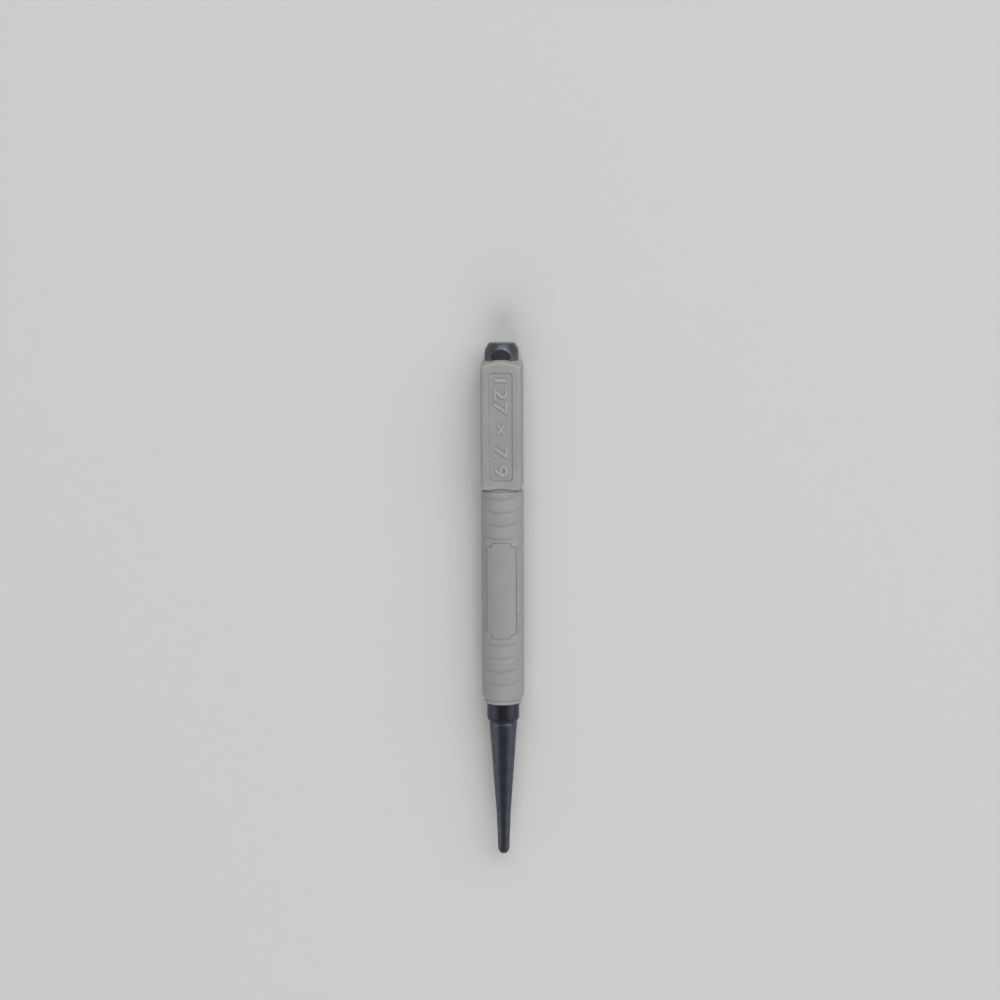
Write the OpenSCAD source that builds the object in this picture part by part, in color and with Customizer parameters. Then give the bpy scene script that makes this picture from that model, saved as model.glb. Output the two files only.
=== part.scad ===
// Nail setter: a one-piece steel punch in a moulded grip, lying face up. The grip
// is a square block and a ribbed sleeve that meet at a neck.
// The punch points along -Y, the striking face looks along +Y, and the grip's
// panel and plate look up. The origin is under the middle of the tool.

/* [Steel punch] */
// Length from the striking face to the tip
overall_length = 127; // [118:1:140]
// Width of the square bar across its flats
stock_width = 7.94; // [7.6:0.01:8.2]
// Width of the flat taken off each long corner, measured along one side
stock_corner = 1.57; // [1.2:0.01:1.8]
// Length of bar that is left square, from the striking face
square_length = 33; // [28:0.5:34]
// Diameter of the striking face
face_diameter = 6.28; // [5.2:0.01:7]
// Slope of the bevel round the striking face, from the tool's axis
face_bevel_angle = 32; // [20:1:50]
// Diameter of the turned shank inside the sleeve
shank_diameter = 7.2; // [6.2:0.1:7.4]
// Length of the plain part of the collar
collar_length = 3.65; // [3:0.05:6]
// Length of the collar's rounded shoulder
shoulder_length = 1.15; // [0.8:0.05:1.6]
// Height of the collar's rounded shoulder
shoulder_height = 0.55; // [0.3:0.05:0.6]
// Diameter of the relief groove behind the taper
relief_diameter = 6.68; // [6.2:0.01:6.8]
// Length of the relief groove
relief_length = 0.4; // [0.3:0.05:0.8]
// Diameter at the thick end of the taper
taper_diameter = 6.9; // [6.5:0.05:7]
// Diameter at the thick end of the nose
nose_diameter = 3.5; // [3:0.05:4.5]
// Length of the nose, up to the rounded tip
nose_length = 8.6; // [6:0.1:12]
// Diameter at the thin end of the nose
tip_diameter = 2.86; // [2.4:0.02:3]
// Length of the rounded tip
tip_length = 1.5; // [1:0.05:2]
// Diameter of the flat at the tip
tip_face_diameter = 1.6; // [1.4:0.05:2]
// Diameter of the cup in the tip
cup_diameter = 1.1; // [0.6:0.05:1.2]
// Depth of the cup in the tip
cup_depth = 0.25; // [0.1:0.05:0.4]

/* [Grip block] */
// Length of punch that stands out of the head end of the grip
head_length = 3.9; // [3:0.1:8]
// Length of the whole grip
grip_length = 84.45; // [78:0.05:88]
// Wall of the block over the flats of the bar
block_wall = 0.93; // [0.8:0.01:1.6]
// Length of the block
block_length = 31.4; // [29.8:0.1:33]
// Radius of the block's long corners
block_corner = 0.9; // [0.4:0.1:1.5]
// Slope of the cone that trims the head end, from the tool's axis
block_cone_angle = 58; // [50:1:65]
// Wall of the grip's end face over the flats of the bar
end_face_wall = 0.18; // [0.1:0.01:0.4]
// Bevel round the inner end of the block
block_bevel = 0.7; // [0.3:0.05:1]
// Width of the recessed panel
panel_width = 5.73; // [4:0.01:6.5]
// Length of the recessed panel
panel_length = 26.25; // [15:0.05:27]
// Distance from the end face to the recessed panel
panel_inset = 3; // [2.5:0.1:4]
// Corner radius of the recessed panel
panel_corner = 0.95; // [0.4:0.05:1.5]
// Depth of the recessed panel
panel_depth = 0.35; // [0.15:0.05:0.5]

/* [Ribbed sleeve] */
// Wall of the sleeve over the shank, at the top of a rib
sleeve_wall = 1.55; // [1.3:0.05:2]
// Length of the neck that meets the block
neck_length = 0.55; // [0.3:0.05:1]
// Depth of the neck below the top of a rib
neck_depth = 0.5; // [0.3:0.05:0.6]
// Bevel at the sleeve's first edge
edge_bevel = 0.2; // [0.1:0.05:0.3]
// Distance between neighbouring grooves
groove_pitch = 3.27; // [2.8:0.01:4]
// Depth of a groove
groove_depth = 0.35; // [0.2:0.01:0.45]
// Width of the plain land on top of a rib
rib_land = 0.8; // [0.5:0.1:1.2]
// Distance from the sleeve's first edge to the first groove, at the front
first_groove = 1.8; // [1.7:0.05:3]
// Lean of the grooves towards the tip, front and back
groove_lean = 16; // [4:1:20]
// Angle from the front at which a groove has run out
groove_fade = 80; // [70:1:86]
// Length of the smooth band between the last groove and the end rounding
smooth_band = 2.3; // [2.2:0.1:5]
// Length of the end rounding
rounding_length = 1.8; // [1.2:0.1:3]
// Height of the end rounding
rounding_height = 0.75; // [0.4:0.05:0.8]
// Length of the lip at the collar
lip_length = 0.75; // [0.4:0.05:1.5]
// Height of the lip above the foot of the end rounding
lip_height = 0.12; // [0.06:0.02:0.2]

/* [Raised plate] */
// Width of the raised plate
plate_width = 7.1; // [5.5:0.1:7.5]
// Length of the raised plate without its end tongues
plate_length = 21.4; // [12:0.1:24]
// Width of the end tongues
tongue_width = 4.58; // [3:0.01:5]
// Length of each end tongue
tongue_length = 1; // [0.5:0.1:2]
// Distance from the sleeve's first edge to the plate, without its tongue
plate_inset = 13.4; // [6:0.1:16]
// Height of the plate above the ribs
plate_height = 0.2; // [0.1:0.02:0.35]

/* [Fits] */
// Gap between the punch and the grip moulded round it
bond_gap = 0.02; // [0.01:0.01:0.05]

/* [Hidden] */
$fn = 128;

// Each cutter runs past what it cuts by this much
overrun = 1;

face_radius = face_diameter / 2;
shank_radius = shank_diameter / 2;
collar_radius = stock_width / 2;
relief_radius = relief_diameter / 2;
sleeve_radius = shank_radius + sleeve_wall;
block_side = stock_width + 2 * block_wall;
plate_radius = sleeve_radius + plate_height;

// Places along the tool, all measured from the striking face
block_end = head_length + block_length;
sleeve_start = block_end + neck_length;
grip_end = head_length + grip_length;
lip_start = grip_end - lip_length;
rounding_start = lip_start - rounding_length;
shoulder_start = grip_end + collar_length;
shoulder_end = shoulder_start + shoulder_length;
taper_start = shoulder_end + relief_length;
tip_start = overall_length - tip_length;
nose_start = tip_start - nose_length;
plate_start = sleeve_start + plate_inset;

// Grooves fill the sleeve, up to the smooth band
groove_room = rounding_start - smooth_band - sleeve_start - first_groove;
groove_count = floor(groove_room / groove_pitch) + 1;
groove_shift = sleeve_radius * tan(groove_lean);

// Grooves are turned about an axis behind the tool's own, so that they run out before the sides
floor_radius = sleeve_radius - groove_depth;
fade_room = floor_radius - sleeve_radius * cos(groove_fade);
groove_offset = (sleeve_radius * sleeve_radius - floor_radius * floor_radius) / (2 * fade_room);

// Each rib is a land between two flanks, which lie on one arc with its centre inside the sleeve
rib_half = groove_pitch / 2;
rib_spread = rib_half * rib_half - rib_land * rib_land / 4;
rib_rise = (rib_spread + groove_depth * groove_depth) / (2 * groove_depth);
rib_radius = sqrt(rib_rise * rib_rise + rib_land * rib_land / 4);

// Radius of the arc that drops by a height over a length
function arc_radius(run, drop) = (run * run + drop * drop) / (2 * drop);

// Lays a piece drawn along Z from the striking face into its resting place
module lay_down() {
  translate([0, overall_length / 2, sleeve_radius])
    rotate([90, 0, 0])
      children();
}

// Half outline of a turned arc that starts at full radius and falls towards the tip
module falling_arc(start, radius, run, drop) {
  bend = arc_radius(run, drop);
  intersection() {
    translate([radius - bend, start])
      circle(bend);
    translate([0, start])
      square([radius, run]);
  }
}

// Square bar outline with its corners taken off, grown all round by a gap
module bar_outline(gap = 0) {
  across_flats = stock_width + 2 * gap;
  across_corners = (stock_width - stock_corner) * sqrt(2) + 2 * gap;
  intersection() {
    square(across_flats, center = true);
    rotate(45)
      square(across_corners, center = true);
  }
}

// Square outline with round corners
module rounded_square(side, corner) {
  straight = side - 2 * corner;
  square([side, straight], center = true);
  square([straight, side], center = true);
  for (x = [-1, 1], y = [-1, 1])
    translate([x * straight / 2, y * straight / 2])
      circle(corner);
}

// Rectangle with round corners, its near edge on the X axis
module rounded_panel(width, length, corner) {
  inner_width = width - 2 * corner;
  inner_length = length - 2 * corner;
  translate([-width / 2, corner])
    square([width, inner_length]);
  translate([-inner_width / 2, 0])
    square([inner_width, length]);
  for (x = [-1, 1], y = [corner, length - corner])
    translate([x * inner_width / 2, y])
      circle(corner);
}

// Half outline of everything that is turned on the lathe
module turned_outline() {
  difference() {
    union() {
      translate([0, square_length - overrun])
        square([shank_radius, grip_end - square_length + 2 * overrun]);
      translate([0, grip_end])
        square([collar_radius, collar_length]);
      falling_arc(shoulder_start, collar_radius, shoulder_length, shoulder_height);
      translate([0, shoulder_start])
        square([relief_radius, shoulder_length + relief_length]);
      polygon([
        [0, taper_start],
        [taper_diameter / 2, taper_start],
        [nose_diameter / 2, nose_start],
        [tip_diameter / 2, tip_start],
        [0, tip_start]
      ]);
      falling_arc(tip_start, tip_diameter / 2, tip_length, (tip_diameter - tip_face_diameter) / 2);
    }
    cup_radius = arc_radius(cup_diameter / 2, cup_depth);
    translate([0, overall_length - cup_depth + cup_radius])
      circle(cup_radius);
  }
}

// Long cone that opens towards the tip from a given start
module trimming_cone(start, radius, angle, length) {
  translate([0, 0, start])
    cylinder(h = length, r1 = radius, r2 = radius + length * tan(angle));
}

// The punch: square head, turned shank, collar, taper, nose and cupped tip
module steel_punch() {
  color("#3f4045")
    lay_down() {
      intersection() {
        linear_extrude(square_length)
          bar_outline();
        trimming_cone(0, face_radius, face_bevel_angle, square_length);
      }
      rotate_extrude()
        turned_outline();
    }
}

// Cuts a flat bevel along each side of the block's inner end
module block_bevels() {
  for (turn = [0 : 90 : 270])
    rotate(turn)
      translate([0, block_side / 2, block_end - block_bevel])
        rotate([45, 0, 0])
          translate([-block_side, 0, 0])
            cube([2 * block_side, block_side, block_side]);
}

// Outer form of the square block, with its coned end
module block_body() {
  end_face_radius = stock_width / 2 + end_face_wall;
  difference() {
    intersection() {
      translate([0, 0, head_length])
        linear_extrude(block_length)
          rounded_square(block_side, block_corner);
      trimming_cone(head_length, end_face_radius, block_cone_angle, block_length);
    }
    block_bevels();
  }
}

// Outline of the material between neighbouring ribs, for every groove
module groove_outline() {
  rib_centre = groove_offset + sleeve_radius - rib_rise;
  for (i = [0 : groove_count - 1])
    translate([0, sleeve_start + first_groove - groove_shift + i * groove_pitch])
      difference() {
        translate([groove_offset + floor_radius, -rib_half])
          square([groove_depth + overrun, groove_pitch]);
        for (side = [-1, 1])
          translate([rib_centre, side * rib_half])
            circle(rib_radius);
      }
}

// Front half of the grooves, each leaning towards the tip and running out before the sides
module front_grooves() {
  lean = tan(groove_lean);
  multmatrix([
    [1, 0, 0, 0],
    [0, 1, 0, 0],
    [0, lean, 1, 0],
    [0, 0, 0, 1]
  ])
    translate([0, -groove_offset, 0])
      rotate_extrude(angle = 180)
        groove_outline();
}

// Half outline of the sleeve before its grooves are cut
module sleeve_outline() {
  foot_radius = sleeve_radius - rounding_height;
  translate([0, block_end])
    square([sleeve_radius - neck_depth, neck_length + overrun]);
  polygon([
    [0, sleeve_start],
    [sleeve_radius - edge_bevel, sleeve_start],
    [sleeve_radius, sleeve_start + edge_bevel],
    [sleeve_radius, rounding_start],
    [0, rounding_start]
  ]);
  falling_arc(rounding_start, sleeve_radius, rounding_length, rounding_height);
  translate([0, rounding_start])
    square([foot_radius, rounding_length + lip_length]);
  translate([0, lip_start])
    square([foot_radius + lip_height, lip_length]);
}

// Round body with bowed grooves, front and back
module ribbed_body() {
  difference() {
    rotate_extrude()
      sleeve_outline();
    front_grooves();
    mirror([0, 1, 0])
      front_grooves();
  }
}

// Raised plate with a tongue at each end, curved with the sleeve
module raised_plate() {
  intersection() {
    translate([0, 0, plate_start - tongue_length])
      cylinder(h = plate_length + 2 * tongue_length, r = plate_radius);
    translate([0, plate_radius + overrun, 0])
      rotate([90, 0, 0])
        linear_extrude(plate_radius + overrun - shank_radius / 2)
          union() {
            translate([-plate_width / 2, plate_start])
              square([plate_width, plate_length]);
            translate([-tongue_width / 2, plate_start - tongue_length])
              square([tongue_width, plate_length + 2 * tongue_length]);
          }
  }
}

// Recess in the block's upper face
module panel_recess() {
  translate([0, block_side / 2 + overrun, head_length + panel_inset])
    rotate([90, 0, 0])
      linear_extrude(panel_depth + overrun)
        rounded_panel(panel_width, panel_length, panel_corner);
}

// Space that the punch fills, square at the block and round under the ribs
module punch_bore() {
  translate([0, 0, head_length - overrun])
    linear_extrude(square_length + bond_gap - head_length + overrun)
      bar_outline(bond_gap);
  translate([0, 0, square_length])
    cylinder(h = grip_end - square_length + overrun, r = shank_radius + bond_gap);
}

// The square block, which keeps the tool from rolling
module grip_block() {
  color("#a2a29f")
    lay_down()
      difference() {
        block_body();
        punch_bore();
        panel_recess();
      }
}

// The round sleeve with its neck, grooves and raised plate
module ribbed_sleeve() {
  color("#a2a29f")
    lay_down()
      difference() {
        union() {
          ribbed_body();
          raised_plate();
        }
        punch_bore();
      }
}

steel_punch();
grip_block();
ribbed_sleeve();
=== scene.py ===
import math

import bmesh
import bpy
from mathutils import Matrix, Vector


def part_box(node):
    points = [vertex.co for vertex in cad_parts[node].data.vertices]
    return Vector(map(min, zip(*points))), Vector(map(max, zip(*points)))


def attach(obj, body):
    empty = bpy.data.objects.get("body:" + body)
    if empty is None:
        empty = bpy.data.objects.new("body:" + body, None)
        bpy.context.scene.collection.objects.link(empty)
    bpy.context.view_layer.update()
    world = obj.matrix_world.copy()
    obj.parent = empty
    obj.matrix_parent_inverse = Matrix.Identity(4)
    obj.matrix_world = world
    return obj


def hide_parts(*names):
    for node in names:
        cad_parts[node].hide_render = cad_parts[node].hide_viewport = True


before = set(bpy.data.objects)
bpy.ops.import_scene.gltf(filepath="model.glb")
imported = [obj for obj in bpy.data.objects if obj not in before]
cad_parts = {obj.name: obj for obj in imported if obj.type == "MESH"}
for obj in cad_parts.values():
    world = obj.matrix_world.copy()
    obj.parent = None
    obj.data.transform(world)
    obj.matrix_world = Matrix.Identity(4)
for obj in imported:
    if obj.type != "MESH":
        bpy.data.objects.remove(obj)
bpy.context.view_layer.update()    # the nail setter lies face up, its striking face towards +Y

print("frame loaded:", sorted(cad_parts))

# Where things are along the tool, from the frame
punchLow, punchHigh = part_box("steel_punch")
blockLow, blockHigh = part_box("grip_block")
sleeveLow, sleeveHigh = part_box("ribbed_sleeve")
millimetre = 0.001
axisHeight = (punchLow.z + punchHigh.z) / 2
toolLength = (punchHigh.y - punchLow.y) / millimetre
gripStart = (punchHigh.y - blockHigh.y) / millimetre
blockEnd = (punchHigh.y - blockLow.y) / millimetre
gripEnd = (punchHigh.y - sleeveLow.y) / millimetre

# Pieces are drawn in millimetres: Z runs from the striking face to the tip, and Y is the front.
# This matrix lays them down in the frame, in metres.
layDown = (
    Matrix.Translation((0, punchHigh.y, axisHeight))
    @ Matrix.Rotation(math.radians(90), 4, "X")
    @ Matrix.Scale(millimetre, 4)
)
weld = 0.0005        # points closer than this are one point, in millimetres
endOn = 0.999        # a normal this far along the tool's axis belongs to an end face
creaseAngle = math.radians(32)


# Small helpers for outlines and meshes

def arcRadius(run, drop):
    # radius of an arc that drops by a height over a length
    return (run * run + drop * drop) / (2 * drop)


def fallingArc(radius, start, run, drop, steps):
    # outline points from full radius down towards the tip
    bend = arcRadius(run, drop)
    sweep = math.asin(run / bend)
    turns = [sweep * i / steps for i in range(steps + 1)]
    return [(radius - bend + bend * math.cos(t), start + bend * math.sin(t)) for t in turns]


def turned(outline, steps):
    # spins an outline of (radius, place) points round the tool's axis
    bm = bmesh.new()
    points = [bm.verts.new((radius, 0, place)) for radius, place in outline]
    lines = [bm.edges.new(pair) for pair in zip(points, points[1:])]
    bmesh.ops.spin(bm, geom=points + lines, cent=(0, 0, 0), axis=(0, 0, 1),
                   angle=math.tau, steps=steps, use_merge=True)
    bmesh.ops.remove_doubles(bm, verts=bm.verts, dist=weld)
    return bm


def cutFlat(bm, point, away, fill=False):
    # cuts off what lies beyond a plane, and closes the cut if asked
    cut = bmesh.ops.bisect_plane(bm, geom=bm.verts[:] + bm.edges[:] + bm.faces[:], dist=weld,
                                 plane_co=point, plane_no=away, clear_outer=True)
    if fill:
        rim = [part for part in cut["geom_cut"] if isinstance(part, bmesh.types.BMEdge)]
        bmesh.ops.edgeloop_fill(bm, edges=rim)


def addLoops(bm, axis, places):
    # cuts new edge loops across one axis, keeping both sides
    away = Vector([1 if i == axis else 0 for i in range(3)])
    for place in places:
        bmesh.ops.bisect_plane(bm, geom=bm.verts[:] + bm.edges[:] + bm.faces[:], dist=weld,
                               plane_co=away * place, plane_no=away)


def softenEdges(bm, edges, width, segments=3):
    # bevels edges, flat with one segment and round with more
    bmesh.ops.bevel(bm, geom=edges, offset=width, offset_type="OFFSET", segments=segments,
                    profile=0.5, affect="EDGES", clamp_overlap=True, material=-1)


def creases(bm, angle=creaseAngle):
    # edges where the surface turns by more than an angle
    return [e for e in bm.edges if len(e.link_faces) == 2 and e.calc_face_angle(0) > angle]


def openEdges(bm):
    return [e for e in bm.edges if e.is_boundary]


def closeUp(bm):
    # closes every open rim and turns all faces outwards
    bmesh.ops.holes_fill(bm, edges=openEdges(bm), sides=0)
    bmesh.ops.recalc_face_normals(bm, faces=bm.faces)
    return bm


def spread(low, high, count):
    # evenly spaced places between two ends, the ends left out
    return [low + (high - low) * (i + 1) / (count + 1) for i in range(count)]


def asObject(bm, name):
    mesh = bpy.data.meshes.new(name)
    bm.to_mesh(mesh)
    bm.free()
    piece = bpy.data.objects.new(name, mesh)
    bpy.context.scene.collection.objects.link(piece)
    return piece


def carve(piece, others):
    # joins and cuts with exact booleans, and leaves one plain mesh
    for operation, other in others:
        modifier = piece.modifiers.new(other.name, "BOOLEAN")
        modifier.operation = operation
        modifier.solver = "EXACT"
        modifier.object = other
    evaluated = piece.evaluated_get(bpy.context.evaluated_depsgraph_get())
    carved = bpy.data.meshes.new_from_object(evaluated)
    piece.modifiers.clear()
    piece.data = carved
    for operation, other in others:
        bpy.data.objects.remove(other)
    return piece


def markBends(mesh):
    # keeps how sharply the surface turns at each point, in degrees, hollows negative
    bm = bmesh.new()
    bm.from_mesh(mesh)
    layer = bm.verts.layers.float.new("bend")
    for v in bm.verts:
        turns = [e.calc_face_angle_signed(0) for e in v.link_edges if len(e.link_faces) == 2]
        v[layer] = math.degrees(max(turns, key=abs, default=0))
    bm.to_mesh(mesh)
    bm.free()


def markPoints(mesh, name, shareAt):
    # keeps a share from 0 to 1 at each point, for the materials
    layer = mesh.attributes.new(name, "FLOAT", "POINT")
    for v, item in zip(mesh.vertices, layer.data):
        item.value = min(max(shareAt(v.co), 0), 1)


def finishPiece(piece, material):
    # lays a piece in the frame, smooths it and hands it to the tool's one body
    piece.data.transform(layDown)
    markBends(piece.data)
    piece.data.shade_smooth()
    piece.data.set_sharp_from_angle(angle=creaseAngle)
    weights = piece.modifiers.new("even normals", "WEIGHTED_NORMAL")
    weights.keep_sharp = True
    piece.data.materials.clear()
    piece.data.materials.append(material)
    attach(piece, "root")
    print("made", piece.name, "with", len(piece.data.polygons), "faces")
    return piece


# Steel punch: square bar at the head, turned shank, collar, taper, nose and cupped tip

punch = {
    "flats": 7.94,            # across the square bar
    "cornerCut": 1.57,        # taken off each long corner, along one side
    "squareEnd": 33.0,        # from the striking face
    "blankShare": 0.7,        # radius of the round blank before its flats, as a share of them
    "face": 6.28,             # across the striking face
    "faceBevel": math.radians(32),
    "shank": 7.2,
    "collarLength": 3.65,
    "collarLoop": 0.3,        # a loop this far from each end keeps the collar's shading even
    "shoulderLength": 1.15,
    "shoulderHeight": 0.55,
    "shoulderSteps": 6,
    "relief": 6.68,
    "reliefLength": 0.4,
    "taper": 6.9,
    "taperShares": (0, 0.03, 0.2, 0.4, 0.6, 0.8, 0.97),    # where its loops lie
    "nose": 3.5,
    "noseLength": 8.6,
    "noseShares": (0, 0.06, 0.94),
    "tip": 2.86,
    "tipLength": 1.5,
    "tipFace": 1.6,
    "tipSteps": 8,
    "cup": 1.1,
    "cupDepth": 0.25,
    "cupSteps": 4,
    "headEdge": 0.12,         # how far the head's edges are broken
    "headCrease": math.radians(15),
    "turnedEdge": 0.04,
    "turnedCrease": math.radians(20),
    "steps": 96,
}


def makeHeadBar(size):
    # a coned round blank, with four flats and four corner cuts taken off it
    reach = size["flats"] * size["blankShare"]
    coneEnd = (reach - size["face"] / 2) / math.tan(size["faceBevel"])
    bm = turned([(size["face"] / 2, 0), (reach, coneEnd), (reach, size["squareEnd"])], size["steps"])
    closeUp(bm)
    corner = (size["flats"] - size["cornerCut"]) * math.sqrt(2)
    for turn in range(8):
        around = math.radians(45 * turn)
        away = Vector((math.cos(around), math.sin(around), 0))
        across = size["flats"] if turn % 2 == 0 else corner
        cutFlat(bm, away * across / 2, away, fill=True)
    bmesh.ops.recalc_face_normals(bm, faces=bm.faces)
    foot = [f for f in bm.faces if f.calc_center_median().z > size["squareEnd"] - weld]
    bmesh.ops.delete(bm, geom=foot, context="FACES")
    softenEdges(bm, creases(bm, size["headCrease"]), size["headEdge"])
    return bm


def makeTurnedShank(size):
    # one outline from inside the grip to the bottom of the cup
    collar = size["flats"] / 2
    shoulder = gripEnd + size["collarLength"]
    relief = shoulder + size["shoulderLength"]
    taper = relief + size["reliefLength"]
    tip = toolLength - size["tipLength"]
    nose = tip - size["noseLength"]
    tipDrop = (size["tip"] - size["tipFace"]) / 2
    cupBend = arcRadius(size["cup"] / 2, size["cupDepth"])
    cupSweep = math.asin(size["cup"] / 2 / cupBend)
    cupCentre = toolLength - size["cupDepth"] + cupBend
    outline = [
        (size["shank"] / 2, size["squareEnd"]),
        (size["shank"] / 2, gripEnd),
        (collar, gripEnd),
        (collar, gripEnd + size["collarLoop"]),
        (collar, shoulder - size["collarLoop"]),
    ]
    outline += fallingArc(collar, shoulder, size["shoulderLength"], size["shoulderHeight"],
                          size["shoulderSteps"])
    outline += [(size["relief"] / 2, relief), (size["relief"] / 2, taper)]
    for share in size["taperShares"]:
        width = size["taper"] + (size["nose"] - size["taper"]) * share
        outline.append((width / 2, taper + (nose - taper) * share))
    for share in size["noseShares"]:
        width = size["nose"] + (size["tip"] - size["nose"]) * share
        outline.append((width / 2, nose + (tip - nose) * share))
    outline += fallingArc(size["tip"] / 2, tip, size["tipLength"], tipDrop, size["tipSteps"])
    for i in range(size["cupSteps"] + 1):
        turn = cupSweep * (1 - i / size["cupSteps"])
        outline.append((cupBend * math.sin(turn), cupCentre - cupBend * math.cos(turn)))
    bm = turned(outline, size["steps"])
    softenEdges(bm, creases(bm, size["turnedCrease"]), size["turnedEdge"], segments=2)
    return bm


def makePunch(size):
    # bridges the square bar to the round shank, and marks the collar, which is painted darker
    bm = makeHeadBar(size)
    shank = makeTurnedShank(size)
    shankMesh = bpy.data.meshes.new("shank")
    shank.to_mesh(shankMesh)
    shank.free()
    bm.from_mesh(shankMesh)
    bpy.data.meshes.remove(shankMesh)
    bmesh.ops.bridge_loops(bm, edges=openEdges(bm))
    bmesh.ops.remove_doubles(bm, verts=bm.verts, dist=weld)
    bmesh.ops.recalc_face_normals(bm, faces=bm.faces)
    piece = asObject(bm, "forged_punch")
    collarEnd = gripEnd + size["collarLength"] + size["shoulderLength"]
    markPoints(piece.data, "darkerCollar", lambda place: gripEnd - weld < place.z < collarEnd)
    return piece


# Grip: a square block against rolling, then a ribbed sleeve with a raised plate

grip = {
    "radius": axisHeight / millimetre,
    "steps": 96,
}

block = {
    "side": 9.8,
    "corner": 0.9,
    "cornerSteps": 8,
    "endFace": 8.3,           # across the flat ring round the bar
    "coneAngle": math.radians(58),
    "coneBlend": 0.45,        # how softly the cone runs into the flats
    "coneLoops": 0.1,         # how far apart the loops under the cone are
    "archBand": 1.6,          # how far past the cone its edge is painted lighter, partly rubbed and partly a painted highlight
    "archStart": 0.05,        # where the lighter band starts, as a share of that
    "innerBevel": 0.7,
    "edge": 0.12,
    "columns": 15,            # loops along each flat, between its corners
}

sleeve = {
    "start": 35.85,           # from the striking face
    "neckDepth": 0.5,
    "edge": 0.2,
    "edgeShares": (0.3, 0.65, 1),    # where the loops of its rounded first edge lie
    "grooves": 15,
    "firstGroove": 1.8,
    "pitch": 3.27,
    "depth": 0.35,
    "land": 0.8,
    "grooveShares": (0.04, 0.1, 0.25, 0.5, 0.75, 1),    # its points, from its middle to a land
    "leastWidth": 0.1,        # half a groove's width where it has run out
    "valley": 0.06,           # rounding at the bottom of a groove
    "lean": math.radians(16),
    "fade": math.radians(80),  # how far round from the front a groove runs out
    "roundingLength": 1.8,
    "roundingHeight": 0.75,
    "roundingSteps": 8,
    "lipLength": 0.75,
    "lipHeight": 0.12,
    "lipEdge": 0.05,
}


def makeBlock(size):
    # the block without its panel and its bore
    bm = bmesh.new()
    length = blockEnd - gripStart
    bmesh.ops.create_cube(bm, size=1, matrix=(
        Matrix.Translation((0, 0, gripStart + length / 2))
        @ Matrix.Diagonal((size["side"], size["side"], length, 1))
    ))
    longEdges = [e for e in bm.edges if abs(e.verts[0].co.z - e.verts[1].co.z) > weld]
    softenEdges(bm, longEdges, size["corner"], size["cornerSteps"])
    innerRim = [e for e in bm.edges if all(v.co.z > blockEnd - weld for v in e.verts)]
    softenEdges(bm, innerRim, size["innerBevel"], segments=1)
    bmesh.ops.recalc_face_normals(bm, faces=bm.faces)
    inner = [e for e in creases(bm) if min(v.co.z for v in e.verts) > blockEnd - size["side"] / 2]
    softenEdges(bm, inner, size["edge"], segments=2)
    capFaces = [f for f in bm.faces if abs(f.normal.z) > endOn]
    bmesh.ops.delete(bm, geom=capFaces, context="FACES")

    # loops along the flats and close together under the cone, which then trims them
    flat = size["side"] / 2 - size["corner"]
    for axis in (0, 1):
        addLoops(bm, axis, spread(-flat, flat, size["columns"]))
    slope = math.tan(size["coneAngle"])
    reach = size["side"] * math.sqrt(2) / 2 + size["archBand"]
    coneLength = (reach - size["endFace"] / 2) / slope
    loopCount = math.ceil(coneLength / size["coneLoops"])
    addLoops(bm, 2, [gripStart + (i + 1) * size["coneLoops"] for i in range(loopCount)])
    for v in bm.verts:
        radius = v.co.xy.length
        cone = size["endFace"] / 2 + (v.co.z - gripStart) * slope
        # a smooth minimum of the flats and the cone
        near = max(size["coneBlend"] - abs(radius - cone), 0) / size["coneBlend"]
        trimmed = min(radius, cone) - near * near * size["coneBlend"] / 4
        v.co.xy *= trimmed / radius
    return asObject(closeUp(bm), "moulded_block")


def ribArc(size):
    # how far inside the crest the arc of a rib's flank has its centre, and its radius
    half, land = size["pitch"] / 2, size["land"] / 2
    rise = (half * half - land * land + size["depth"] ** 2) / (2 * size["depth"])
    return rise, math.hypot(rise, land)


def grooveOutline(size, centre):
    # places of the points of one groove between two ribs, from land to land
    reach = size["pitch"] / 2 - size["land"] / 2
    shares = size["grooveShares"]
    places = [-share for share in reversed(shares)] + [0] + list(shares)
    return [(grip["radius"], centre + place * reach) for place in places]


def sinkGrooves(bm, size, centres):
    # presses the grooves in, deepest at the front and back and fading out before the sides
    radius, half = grip["radius"], size["pitch"] / 2
    reach, least = half - size["land"] / 2, size["leastWidth"]
    rise, bend = ribArc(size)
    floor = radius - size["depth"]
    offset = (radius ** 2 - floor ** 2) / (2 * (floor - radius * math.cos(size["fade"])))
    for v in bm.verts:
        centre = min(centres, key=lambda place: abs(place - v.co.z))
        share = (v.co.z - centre) / reach
        if abs(share) > 1 + weld or abs(v.co.xy.length - radius) > weld:
            continue
        front, side = abs(v.co.y) / radius, abs(v.co.x) / radius
        missed = radius + offset - math.sqrt(radius ** 2 + offset ** 2 + 2 * radius * offset * front)
        depth = max(size["depth"] - missed, 0)
        width = max(half - math.sqrt(bend ** 2 - (rise - missed) ** 2), least) if depth else least
        v.co.z = centre + share * width
        soft = math.hypot(share * width, size["valley"] * width / reach)
        sunk = radius + offset - rise + math.sqrt(bend ** 2 - (half - soft) ** 2)
        if depth:
            sunk = math.sqrt(sunk ** 2 - (offset * side) ** 2) - offset * front
            v.co.xy *= min(sunk / radius, 1)


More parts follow.
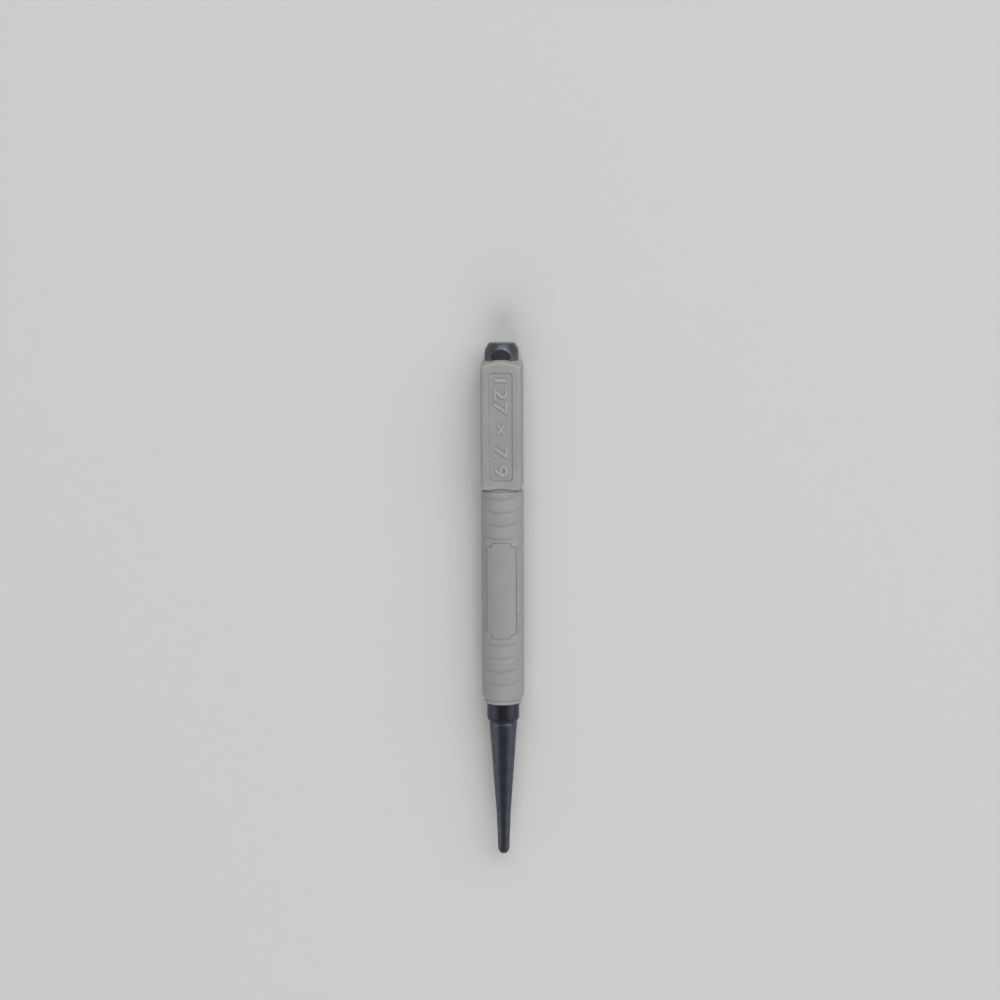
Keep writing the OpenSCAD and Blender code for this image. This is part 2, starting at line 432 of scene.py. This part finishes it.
def makeSleeve(size):
    # the sleeve without its plate and its bore
    radius = grip["radius"]
    rounding = gripEnd - size["lipLength"] - size["roundingLength"]
    lip = gripEnd - size["lipLength"]
    foot = radius - size["roundingHeight"]
    lipRadius = foot + size["lipHeight"]
    centres = [size["start"] + size["firstGroove"] + i * size["pitch"] for i in range(size["grooves"])]
    outline = [(radius, size["start"] - size["pitch"])]
    for centre in centres:
        outline += grooveOutline(size, centre)
    lastGroove = outline[-1][1]
    outline += fallingArc(radius, rounding, size["roundingLength"], size["roundingHeight"],
                          size["roundingSteps"])
    outline += [
        (lipRadius - size["lipEdge"], lip),
        (lipRadius, lip + size["lipEdge"]),
        (lipRadius, gripEnd - size["lipEdge"]),
        (lipRadius - size["lipEdge"], gripEnd),
    ]
    bm = turned(outline, grip["steps"])
    sinkGrooves(bm, size, centres)

    # the grooves lean towards the tip, front and back
    for v in bm.verts:
        if v.co.z < lastGroove + weld:
            v.co.z += (abs(v.co.y) - radius) * math.tan(size["lean"])
    cutFlat(bm, Vector((0, 0, size["start"])), Vector((0, 0, -1)))
    addLoops(bm, 2, [size["start"] + size["edge"] * share for share in size["edgeShares"]])
    for v in bm.verts:
        share = (size["start"] + size["edge"] - v.co.z) / size["edge"]
        if share > 0:
            drop = size["edge"] * (1 - math.sqrt(max(1 - share * share, 0)))
            v.co.xy *= 1 - drop / v.co.xy.length

    # neck, from the sleeve's first edge to the block
    rim = [e for e in openEdges(bm) if e.verts[0].co.z < size["start"] + weld]
    for place in (size["start"], blockEnd):
        grown = bmesh.ops.extrude_edge_only(bm, edges=rim)["geom"]
        rim = [part for part in grown if isinstance(part, bmesh.types.BMEdge)]
        for v in {v for e in rim for v in e.verts}:
            v.co.xy *= (radius - size["neckDepth"]) / v.co.xy.length
            v.co.z = place
    return asObject(closeUp(bm), "moulded_sleeve")


plate = {
    "width": 7.1,
    "length": 21.4,
    "tongueWidth": 4.58,
    "tongueLength": 1.0,
    "start": 49.25,           # from the striking face
    "height": 0.2,
    "root": 0.75,             # how deep it reaches below the ribs
    "planCorner": 0.2,        # rounding of its corners, seen from above
    "edge": 0.07,
    "columns": 24,            # even, so that none falls on the sleeve's own middle line
    "seam": 0.08,             # width of the fine line round its foot
    "seamDepth": 0.34,
}


def makePlate(size, name, grow, depth, height, edge):
    # a stepped plate that follows the sleeve, from a depth below its ribs to a height above
    wide, narrow = size["width"] / 2 + grow, size["tongueWidth"] / 2 + grow
    first, last = size["start"] - grow, size["start"] + size["length"] + grow
    step = size["tongueLength"]
    outline = [(-wide, first), (-narrow, first), (-narrow, first - step), (narrow, first - step),
               (narrow, first), (wide, first), (wide, last), (narrow, last),
               (narrow, last + step), (-narrow, last + step), (-narrow, last), (-wide, last)]
    bm = bmesh.new()
    bm.faces.new([bm.verts.new((x, 0, z)) for x, z in outline])
    bmesh.ops.bevel(bm, geom=bm.verts[:], offset=size["planCorner"], offset_type="OFFSET", segments=3,
                    profile=0.5, affect="VERTICES", clamp_overlap=True, material=-1)
    addLoops(bm, 0, spread(-wide, wide, size["columns"]))
    rootFaces = bm.faces[:]
    rootVerts = bm.verts[:]
    grown = bmesh.ops.extrude_face_region(bm, geom=rootFaces, use_keep_orig=True)["geom"]
    topVerts = [part for part in grown if isinstance(part, bmesh.types.BMVert)]
    topFaces = [part for part in grown if isinstance(part, bmesh.types.BMFace)]
    for verts, radius in ((rootVerts, grip["radius"] - depth), (topVerts, grip["radius"] + height)):
        for v in verts:
            v.co.y = math.sqrt(radius ** 2 - v.co.x ** 2)
    bmesh.ops.recalc_face_normals(bm, faces=bm.faces)
    rim = [e for f in topFaces for e in f.edges if any(other not in topFaces for other in e.link_faces)]
    if edge:
        softenEdges(bm, rim, edge)
    return asObject(bm, name)


panel = {
    "width": 5.73,
    "length": 26.25,
    "corner": 0.95,
    "inset": 3.0,             # from the block's end
    "depth": 0.35,
    "fillet": 0.12,           # at the floor and at the rim
    "filletSteps": 3,
    "cornerSteps": 6,
}


def makePanelCutter(size):
    # a rounded plug with a filleted foot that flares out at the block's surface
    surface = block["side"] / 2
    floor = surface - size["depth"]
    fillet = size["fillet"]
    turns = [math.radians(90) * i / size["filletSteps"] for i in range(size["filletSteps"] + 1)]
    rings = [(fillet * (math.sin(t) - 1), floor + fillet * (1 - math.cos(t))) for t in turns]
    rings += [(fillet * (1 - math.cos(t)), surface - fillet + fillet * math.sin(t)) for t in turns]
    rings.append((fillet, surface + size["depth"]))
    bm = bmesh.new()
    middle = gripStart + size["inset"] + size["length"] / 2
    loops = []
    for grow, height in rings:
        corner = size["corner"] + grow
        x, z = size["width"] / 2 - size["corner"], size["length"] / 2 - size["corner"]
        loop = []
        for quarter, (sideX, sideZ) in enumerate(((1, 1), (-1, 1), (-1, -1), (1, -1))):
            for i in range(size["cornerSteps"] + 1):
                turn = math.radians(90) * (quarter + i / size["cornerSteps"])
                loop.append(bm.verts.new((sideX * x + corner * math.cos(turn), height,
                                          middle + sideZ * z + corner * math.sin(turn))))
        loops.append([bm.edges.new(pair) for pair in zip(loop, loop[1:] + loop[:1])])
    for lower, upper in zip(loops, loops[1:]):
        bmesh.ops.bridge_loops(bm, edges=lower + upper)
    return asObject(closeUp(bm), "panelCutter")


bore = {
    "gap": 0.02,              # all round the punch
    "steps": 64,
    "overrun": 1.0,
}


def makeBoreCutters(size):
    # the punch's square and round lengths inside the grip, each with the gap added
    flats = punch["flats"] + 2 * size["gap"]
    start = gripStart - size["overrun"]
    length = punch["squareEnd"] - start
    square = bmesh.new()
    bmesh.ops.create_cube(square, size=1, matrix=(
        Matrix.Translation((0, 0, start + length / 2)) @ Matrix.Diagonal((flats, flats, length, 1))
    ))
    longEdges = [e for e in square.edges if abs(e.verts[0].co.z - e.verts[1].co.z) > weld]
    softenEdges(square, longEdges, punch["cornerCut"], segments=1)
    bmesh.ops.recalc_face_normals(square, faces=square.faces)
    radius = punch["shank"] / 2 + size["gap"]
    ends = (punch["squareEnd"] - size["overrun"], gripEnd + size["overrun"])
    shank = turned([(radius, place) for place in ends], size["steps"])
    return [asObject(square, "squareBore"), asObject(closeUp(shank), "roundBore")]


def grooveDepth(place):
    # how deep in a groove a point of the sleeve lies, for the painted shade there
    first = sleeve["start"] + sleeve["edge"]
    last = first + sleeve["grooves"] * sleeve["pitch"]
    sunk = (grip["radius"] - place.xy.length) / sleeve["depth"]
    return sunk if first < place.z < last else 0


def blockWearAndHighlight(place):
    # the lighter bands where the cone meets the flats and on the bevel towards the neck, partly rubbed and
    # partly a painted highlight
    cone = block["endFace"] / 2 + (place.z - gripStart) * math.tan(block["coneAngle"])
    past = (cone - place.xy.length) / block["archBand"]
    arch = 1 - past if past > block["archStart"] else 0
    bevel = (place.z - blockEnd + block["innerBevel"] + block["edge"]) / block["edge"]
    return max(arch, bevel)


def makeGripBlock():
    body = makeBlock(block)
    cuts = [makePanelCutter(panel)] + makeBoreCutters(bore)
    body = carve(body, [("DIFFERENCE", cutter) for cutter in cuts])
    # lighter bands at the arch and the bevel, partly rubbed and partly a painted highlight
    markPoints(body.data, "wearAndHighlight", blockWearAndHighlight)
    return body


def makeGripSleeve():
    body = makeSleeve(sleeve)
    seam = makePlate(plate, "plateSeam", plate["seam"], plate["seamDepth"], plate["root"], 0)
    raised = makePlate(plate, "raisedPlate", 0, plate["root"], plate["height"], plate["edge"])
    steps = [("DIFFERENCE", seam), ("UNION", raised)]
    steps += [("DIFFERENCE", cutter) for cutter in makeBoreCutters(bore)]
    body = carve(body, steps)
    # keeps each point's depth in a groove, for the painted shade there
    markPoints(body.data, "groove", grooveDepth)
    return body


figures = {
    "text": "127 \u00d7 7.9",  # plain sizes in millimetres, length and width of the bar
    "capHeight": 3.3,
    "length": 23.6,
    "raised": 0.26,
    "sunk": 0.05,
    "edge": 0.12,
    "centre": 20.2,           # from the striking face
    "stroke": 0.012,          # extra thickness, as a share of the font's size
    "weld": 0.0001,           # on the same scale
    "wearAndHighlight": 0.65,             # how far their crests are painted lighter, partly rubbed and partly a painted highlight
}


def makeFigures(size):
    # raised figures that read towards the tip, their tops towards +X
    curve = bpy.data.curves.new("figures", "FONT")
    curve.body = size["text"]
    curve.align_x = "CENTER"
    curve.resolution_u = 6
    curve.offset = size["stroke"]
    text = bpy.data.objects.new("figures", curve)
    bpy.context.scene.collection.objects.link(text)
    flat = bpy.data.meshes.new_from_object(text.evaluated_get(bpy.context.evaluated_depsgraph_get()))
    bpy.data.objects.remove(text)
    bpy.data.curves.remove(curve)
    bm = bmesh.new()
    bm.from_mesh(flat)
    bpy.data.meshes.remove(flat)
    bmesh.ops.remove_doubles(bm, verts=bm.verts, dist=size["weld"])
    low = Vector([min(v.co[i] for v in bm.verts) for i in range(3)])
    high = Vector([max(v.co[i] for v in bm.verts) for i in range(3)])
    middle = (low + high) / 2
    for v in bm.verts:
        v.co.x = (v.co.x - middle.x) * size["length"] / (high.x - low.x)
        v.co.y = (v.co.y - middle.y) * size["capHeight"] / (high.y - low.y)
    floor = block["side"] / 2 - panel["depth"]
    faces = bm.faces[:]
    grown = bmesh.ops.extrude_face_region(bm, geom=faces, use_keep_orig=True)["geom"]
    for part in grown:
        if isinstance(part, bmesh.types.BMVert):
            part.co.z = size["raised"] + size["sunk"]
    for v in bm.verts:
        v.co = (v.co.y, v.co.z + floor - size["sunk"], v.co.x + size["centre"])
    bmesh.ops.recalc_face_normals(bm, faces=bm.faces)
    crest = floor + size["raised"] - weld
    rim = [e for e in creases(bm) if all(v.co.y > crest for v in e.verts)]
    softenEdges(bm, rim, size["edge"], segments=2)
    piece = asObject(bm, "size_figures")
    # crests painted lighter, partly rubbed and partly a painted highlight
    markPoints(piece.data, "wearAndHighlight", lambda place: (place.y - floor) / size["raised"] * size["wearAndHighlight"])
    return piece


# Materials

def addNode(tree, kind, inputs=None, **settings):
    # a node with its settings, whose inputs take plain values or other nodes' outputs
    node = tree.nodes.new(kind)
    for name, value in settings.items():
        setattr(node, name, value)
    for name, value in (inputs or {}).items():
        if isinstance(value, bpy.types.NodeSocket):
            tree.links.new(value, node.inputs[name])
        else:
            node.inputs[name].default_value = value
    return node


def newGroup(name, inputs, outputs):
    # a node group with number inputs and the outputs named
    group = bpy.data.node_groups.new(name, "ShaderNodeTree")
    for label, value in inputs.items():
        socket = group.interface.new_socket(name=label, in_out="INPUT", socket_type="NodeSocketFloat")
        socket.default_value = value
    for label in outputs:
        group.interface.new_socket(name=label, in_out="OUTPUT", socket_type="NodeSocketFloat")
    entry = group.nodes.new("NodeGroupInput")
    leave = group.nodes.new("NodeGroupOutput")
    return group, entry.outputs, leave.inputs


def remap(tree, value, fromLow, fromHigh, toLow=0.0, toHigh=1.0):
    return addNode(tree, "ShaderNodeMapRange", {
        "Value": value, "From Min": fromLow, "From Max": fromHigh, "To Min": toLow, "To Max": toHigh,
    }, interpolation_type="SMOOTHSTEP").outputs["Result"]


def blend(tree, share, first, second):
    # mixes two colours by a share, through the mix node's colour sockets
    mix = addNode(tree, "ShaderNodeMix", {0: share, 6: first, 7: second}, data_type="RGBA")
    return mix.outputs[2]


def combine(tree, operation, first, second):
    return addNode(tree, "ShaderNodeMath", {0: first, 1: second}, operation=operation).outputs[0]


def makeGrainGroup():
    # fine moulded grain as a height, and a slow drift of tone
    group, given, result = newGroup("grain", {"Grain Scale": 6500, "Drift Scale": 260}, ["Height", "Drift"])
    place = addNode(group, "ShaderNodeTexCoord").outputs["Object"]
    fine = addNode(group, "ShaderNodeTexNoise", {
        "Vector": place, "Scale": given["Grain Scale"], "Detail": 3.0, "Roughness": 0.6,
    }).outputs[0]
    slow = addNode(group, "ShaderNodeTexNoise", {
        "Vector": place, "Scale": given["Drift Scale"], "Detail": 4.0, "Roughness": 0.55,
    }).outputs[0]
    group.links.new(fine, result["Height"])
    group.links.new(remap(group, slow, fromLow=0.3, fromHigh=0.7), result["Drift"])
    return group


def makeRingGroup():
    # fine marks round the tool, as a lathe leaves them
    group, given, result = newGroup("lathe marks", {"Ring Scale": 5200}, ["Height", "Streak"])
    place = addNode(group, "ShaderNodeTexCoord").outputs["Object"]
    # stretched across the tool, so that only the place along it counts
    along = addNode(group, "ShaderNodeMapping", {"Vector": place, "Scale": (0.02, 1.0, 0.02)}).outputs[0]
    ring = addNode(group, "ShaderNodeTexNoise", {
        "Vector": along, "Scale": given["Ring Scale"], "Detail": 2.0, "Roughness": 0.7,
    }).outputs[0]
    group.links.new(ring, result["Height"])
    group.links.new(remap(group, ring, fromLow=0.35, fromHigh=0.65), result["Streak"])
    return group


def makeBendGroup():
    # masks for convex edges, worn on the steel and partly a painted highlight on the grip, and for hollows,
    # which take painted shade; the edge mask is broken up a little
    group, given, result = newGroup("edges and hollow shade", {"From": 18, "To": 30, "Break Scale": 900},
                                    ["Edge", "HollowShade"])
    bend = addNode(group, "ShaderNodeAttribute", attribute_name="bend").outputs["Fac"]
    place = addNode(group, "ShaderNodeTexCoord").outputs["Object"]
    patch = addNode(group, "ShaderNodeTexNoise", {
        "Vector": place, "Scale": given["Break Scale"], "Detail": 3.0, "Roughness": 0.6,
    }).outputs[0]
    patch = remap(group, patch, fromLow=0.35, fromHigh=0.6)
    for label, side in (("Edge", 1.0), ("HollowShade", -1.0)):
        turn = combine(group, "MULTIPLY", bend, side)
        share = addNode(group, "ShaderNodeMapRange", {
            "Value": turn, "From Min": given["From"], "From Max": given["To"],
        }).outputs["Result"]
        if label == "Edge":
            share = combine(group, "MULTIPLY", share, patch)
        group.links.new(share, result[label])
    return group


def makeSpeckGroup():
    # a few small specks
    group, given, result = newGroup("specks", {"Spacing Scale": 500, "Size": 0.07}, ["Speck"])
    place = addNode(group, "ShaderNodeTexCoord").outputs["Object"]
    spots = addNode(group, "ShaderNodeTexVoronoi", {"Vector": place, "Scale": given["Spacing Scale"]})
    near = combine(group, "LESS_THAN", spots.outputs["Distance"], given["Size"])
    few = addNode(group, "ShaderNodeTexNoise", {"Vector": place, "Scale": 180.0}).outputs[0]
    few = remap(group, few, fromLow=0.55, fromHigh=0.7)
    group.links.new(combine(group, "MULTIPLY", near, few), result["Speck"])
    return group


grainGroup = makeGrainGroup()
ringGroup = makeRingGroup()
bendGroup = makeBendGroup()
speckGroup = makeSpeckGroup()


def newMaterial(name):
    material = bpy.data.materials.new(name)
    material.use_nodes = True
    return material, material.node_tree, material.node_tree.nodes["Principled BSDF"]


def useGroup(tree, group, inputs):
    # a node group's outputs, with its inputs set
    node = addNode(tree, "ShaderNodeGroup", node_tree=group)
    for name, value in inputs.items():
        node.inputs[name].default_value = value
    return node.outputs


def tint(tree, mask, colour, change):
    # moves a colour towards another where a mask is high
    strength, towards = change
    return blend(tree, combine(tree, "MULTIPLY", mask, strength), colour, towards)


def addBump(tree, shader, height, size):
    # fine relief on the surface, its distance in metres
    bump = addNode(tree, "ShaderNodeBump", {**size, "Height": height})
    tree.links.new(bump.outputs[0], shader.inputs["Normal"])


# a change of tone is its strength and the colour that it moves towards
gripFinish = {
    "tones": ((0.298, 0.299, 0.288, 1), (0.322, 0.321, 0.317, 1)),
    # painted shade: darker the deeper a point lies in a groove or in the plate's seam
    "groove": (0.45, (0.20, 0.20, 0.188, 1)),
    "grooveFrom": 0.35,       # how deep in a groove its painted shade starts
    # painted shade: darker in hollows and creases
    "hollowShade": (0.3, (0.20, 0.20, 0.188, 1)),
    # lighter on convex edges, partly wear and partly a painted highlight
    "edge": (0.5, (0.37, 0.37, 0.36, 1)),
    # lighter arch and bevel bands on the block and crests of the figures, partly rubbed and partly a
    # painted highlight
    "wearAndHighlight": (0.8, (0.41, 0.41, 0.395, 1)),
    "speck": (0.6, (0.15, 0.15, 0.14, 1)),
    "roughness": (0.50, 0.60),
    "bump": {"Strength": 0.25, "Distance": 0.00004},
    "grain": {"Grain Scale": 6500, "Drift Scale": 260},
    "bends": {"From": 15, "To": 28},
    "specks": {"Spacing Scale": 420, "Size": 0.06},
}

steelFinish = {
    "tones": ((0.080, 0.088, 0.108, 1), (0.100, 0.110, 0.131, 1)),
    # the collar painted darker than the taper and the nose
    "darkerCollar": (0.9, (0.050, 0.052, 0.066, 1)),
    "edge": (0.45, (0.20, 0.20, 0.21, 1)),
    "speck": (0.5, (0.24, 0.24, 0.24, 1)),
    "metallic": 0.92,
    "roughness": (0.30, 0.37),
    "grainShare": 0.6,        # of the grain in the relief, beside the lathe marks
    "bump": {"Strength": 0.12, "Distance": 0.00002},
    "grain": {"Grain Scale": 9000, "Drift Scale": 420},
    "rings": {"Ring Scale": 5200},
    "bends": {"From": 10, "To": 19},
    "specks": {"Spacing Scale": 700, "Size": 0.09},
}


def makeGripMaterial(finish):
    material, tree, shader = newMaterial("grey grip")
    grain = useGroup(tree, grainGroup, finish["grain"])
    bends = useGroup(tree, bendGroup, finish["bends"])
    specks = useGroup(tree, speckGroup, finish["specks"])
    groove = addNode(tree, "ShaderNodeAttribute", attribute_name="groove").outputs["Fac"]
    wearAndHighlight = addNode(tree, "ShaderNodeAttribute", attribute_name="wearAndHighlight").outputs["Fac"]
    colour = blend(tree, grain["Drift"], *finish["tones"])
    # painted shade, deep in the grooves
    colour = tint(tree, remap(tree, groove, finish["grooveFrom"], 1.0), colour, finish["groove"])
    # painted shade in hollows and creases
    colour = tint(tree, bends["HollowShade"], colour, finish["hollowShade"])
    # lighter convex edges, partly a painted highlight
    colour = tint(tree, bends["Edge"], colour, finish["edge"])
    # lighter bands and crests, partly a painted highlight
    colour = tint(tree, wearAndHighlight, colour, finish["wearAndHighlight"])
    colour = tint(tree, specks["Speck"], colour, finish["speck"])
    tree.links.new(colour, shader.inputs["Base Color"])
    tree.links.new(remap(tree, grain["Drift"], 0, 1, *finish["roughness"]), shader.inputs["Roughness"])
    addBump(tree, shader, grain["Height"], finish["bump"])
    return material


def makeSteelMaterial(finish):
    material, tree, shader = newMaterial("blackened steel")
    grain = useGroup(tree, grainGroup, finish["grain"])
    rings = useGroup(tree, ringGroup, finish["rings"])
    bends = useGroup(tree, bendGroup, finish["bends"])
    specks = useGroup(tree, speckGroup, finish["specks"])
    darkerCollar = addNode(tree, "ShaderNodeAttribute", attribute_name="darkerCollar").outputs["Fac"]
    colour = blend(tree, grain["Drift"], *finish["tones"])
    # the collar painted darker
    colour = tint(tree, darkerCollar, colour, finish["darkerCollar"])
    colour = tint(tree, bends["Edge"], colour, finish["edge"])
    colour = tint(tree, specks["Speck"], colour, finish["speck"])
    tree.links.new(colour, shader.inputs["Base Color"])
    shader.inputs["Metallic"].default_value = finish["metallic"]
    tree.links.new(remap(tree, rings["Streak"], 0, 1, *finish["roughness"]), shader.inputs["Roughness"])
    grainHeight = combine(tree, "MULTIPLY", grain["Height"], finish["grainShare"])
    addBump(tree, shader, combine(tree, "ADD", rings["Height"], grainHeight), finish["bump"])
    return material


blackenedSteel = makeSteelMaterial(steelFinish)
greyGrip = makeGripMaterial(gripFinish)
print("materials made")

steelPiece = finishPiece(makePunch(punch), blackenedSteel)
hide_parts("steel_punch")
blockPiece = finishPiece(makeGripBlock(), greyGrip)
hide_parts("grip_block")
sleevePiece = finishPiece(makeGripSleeve(), greyGrip)
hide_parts("ribbed_sleeve")
finishPiece(makeFigures(figures), greyGrip)


# Floor, light and camera

# the camera and shiny surfaces see a pale studio that darkens overhead, and the lamps do the lighting
studio = {
    "floorReach": 2,          # from the middle to its sides, in metres
    "floorColour": (0.64, 0.64, 0.64, 1),
    "floorRoughness": 0.9,
    "horizon": 0.58,
    "horizonEnd": 0.05,       # how high a direction points where the horizon's tone ends
    "overhead": 0.17,
    "overheadStart": 0.7,
    "ambient": 0.03,
    "lampSize": 2.2,
    "lampDistance": 2.5,
}
floorMesh = bpy.data.meshes.new("floor")
floorShape = bmesh.new()
bmesh.ops.create_grid(floorShape, x_segments=1, y_segments=1, size=studio["floorReach"])
floorShape.to_mesh(floorMesh)
floorShape.free()
floor = bpy.data.objects.new("floor", floorMesh)
bpy.context.scene.collection.objects.link(floor)
floorMaterial, floorTree, floorShader = newMaterial("pale floor")
floorShader.inputs["Base Color"].default_value = studio["floorColour"]
floorShader.inputs["Roughness"].default_value = studio["floorRoughness"]
floorShader.inputs["Specular IOR Level"].default_value = 0.0
floor.data.materials.append(floorMaterial)

world = bpy.data.worlds.new("studio")
world.use_nodes = True
worldTree = world.node_tree
rays = addNode(worldTree, "ShaderNodeLightPath").outputs
direction = addNode(worldTree, "ShaderNodeTexCoord").outputs["Generated"]
height = addNode(worldTree, "ShaderNodeSeparateXYZ", {"Vector": direction}).outputs["Z"]
seen = combine(worldTree, "MAXIMUM", rays["Is Camera Ray"], rays["Is Glossy Ray"])
seen = combine(worldTree, "MAXIMUM", seen, rays["Is Transmission Ray"])
surround = remap(worldTree, height, studio["horizonEnd"], studio["overheadStart"],
                 studio["horizon"], studio["overhead"])
worldTree.links.new(remap(worldTree, seen, 0, 1, studio["ambient"], surround),
                    worldTree.nodes["Background"].inputs["Strength"])
worldTree.nodes["Background"].inputs["Color"].default_value = (1, 1, 1, 1)
bpy.context.scene.world = world

# soft lamps all round: strong from both ends and the head's right, weak from the sides
lamps = {
    "head": {"around": 90, "up": 47, "power": 28.6},
    "headRight": {"around": 45, "up": 40, "power": 29.2},
    "tip": {"around": -90, "up": 29, "power": 44.5},
    "left": {"around": 180, "up": 30, "power": 10.5},
    "right": {"around": 0, "up": 27, "power": 10.0},
}
for name, lamp in lamps.items():
    around, up = math.radians(lamp["around"]), math.radians(lamp["up"])
    outwards = Vector((math.cos(up) * math.cos(around), math.cos(up) * math.sin(around), math.sin(up)))
    data = bpy.data.lights.new(name, "AREA")
    data.size = studio["lampSize"]
    data.energy = lamp["power"]
    light = bpy.data.objects.new(name, data)
    light.location = outwards * studio["lampDistance"]
    light.rotation_euler = outwards.to_track_quat("Z", "Y").to_euler()
    light.visible_glossy = name != "tip"    # keeps its glare off the collar's shoulder
    bpy.context.scene.collection.objects.link(light)

view = {
    "lens": 72.0,
    "sensor": 36,
    "distance": 0.487,
    "tilt": math.radians(7.9),        # towards the head
    "orbit": math.radians(4.3),       # round the tool, towards +X
    "twist": math.radians(-0.25),     # in the picture's plane
    "aim": Vector((-0.00058, 0.02525, axisHeight)),
}
camera = bpy.data.objects.new("camera", bpy.data.cameras.new("camera"))
camera.data.lens = view["lens"]
camera.data.sensor_width = view["sensor"]
towards = Vector((math.sin(view["orbit"]) * math.cos(view["tilt"]), math.sin(view["tilt"]),
                  math.cos(view["orbit"]) * math.cos(view["tilt"])))
camera.location = view["aim"] + towards * view["distance"]
sideways = Vector((0, 1, 0)).cross(towards).normalized()
upwards = towards.cross(sideways)
camera.rotation_euler = (
    Matrix((sideways, upwards, towards)).transposed() @ Matrix.Rotation(view["twist"], 3, "Z")
).to_euler()
bpy.context.scene.collection.objects.link(camera)
bpy.context.scene.camera = camera
bpy.context.scene.view_settings.view_transform = "Standard"
print("floor, lamps and camera placed")
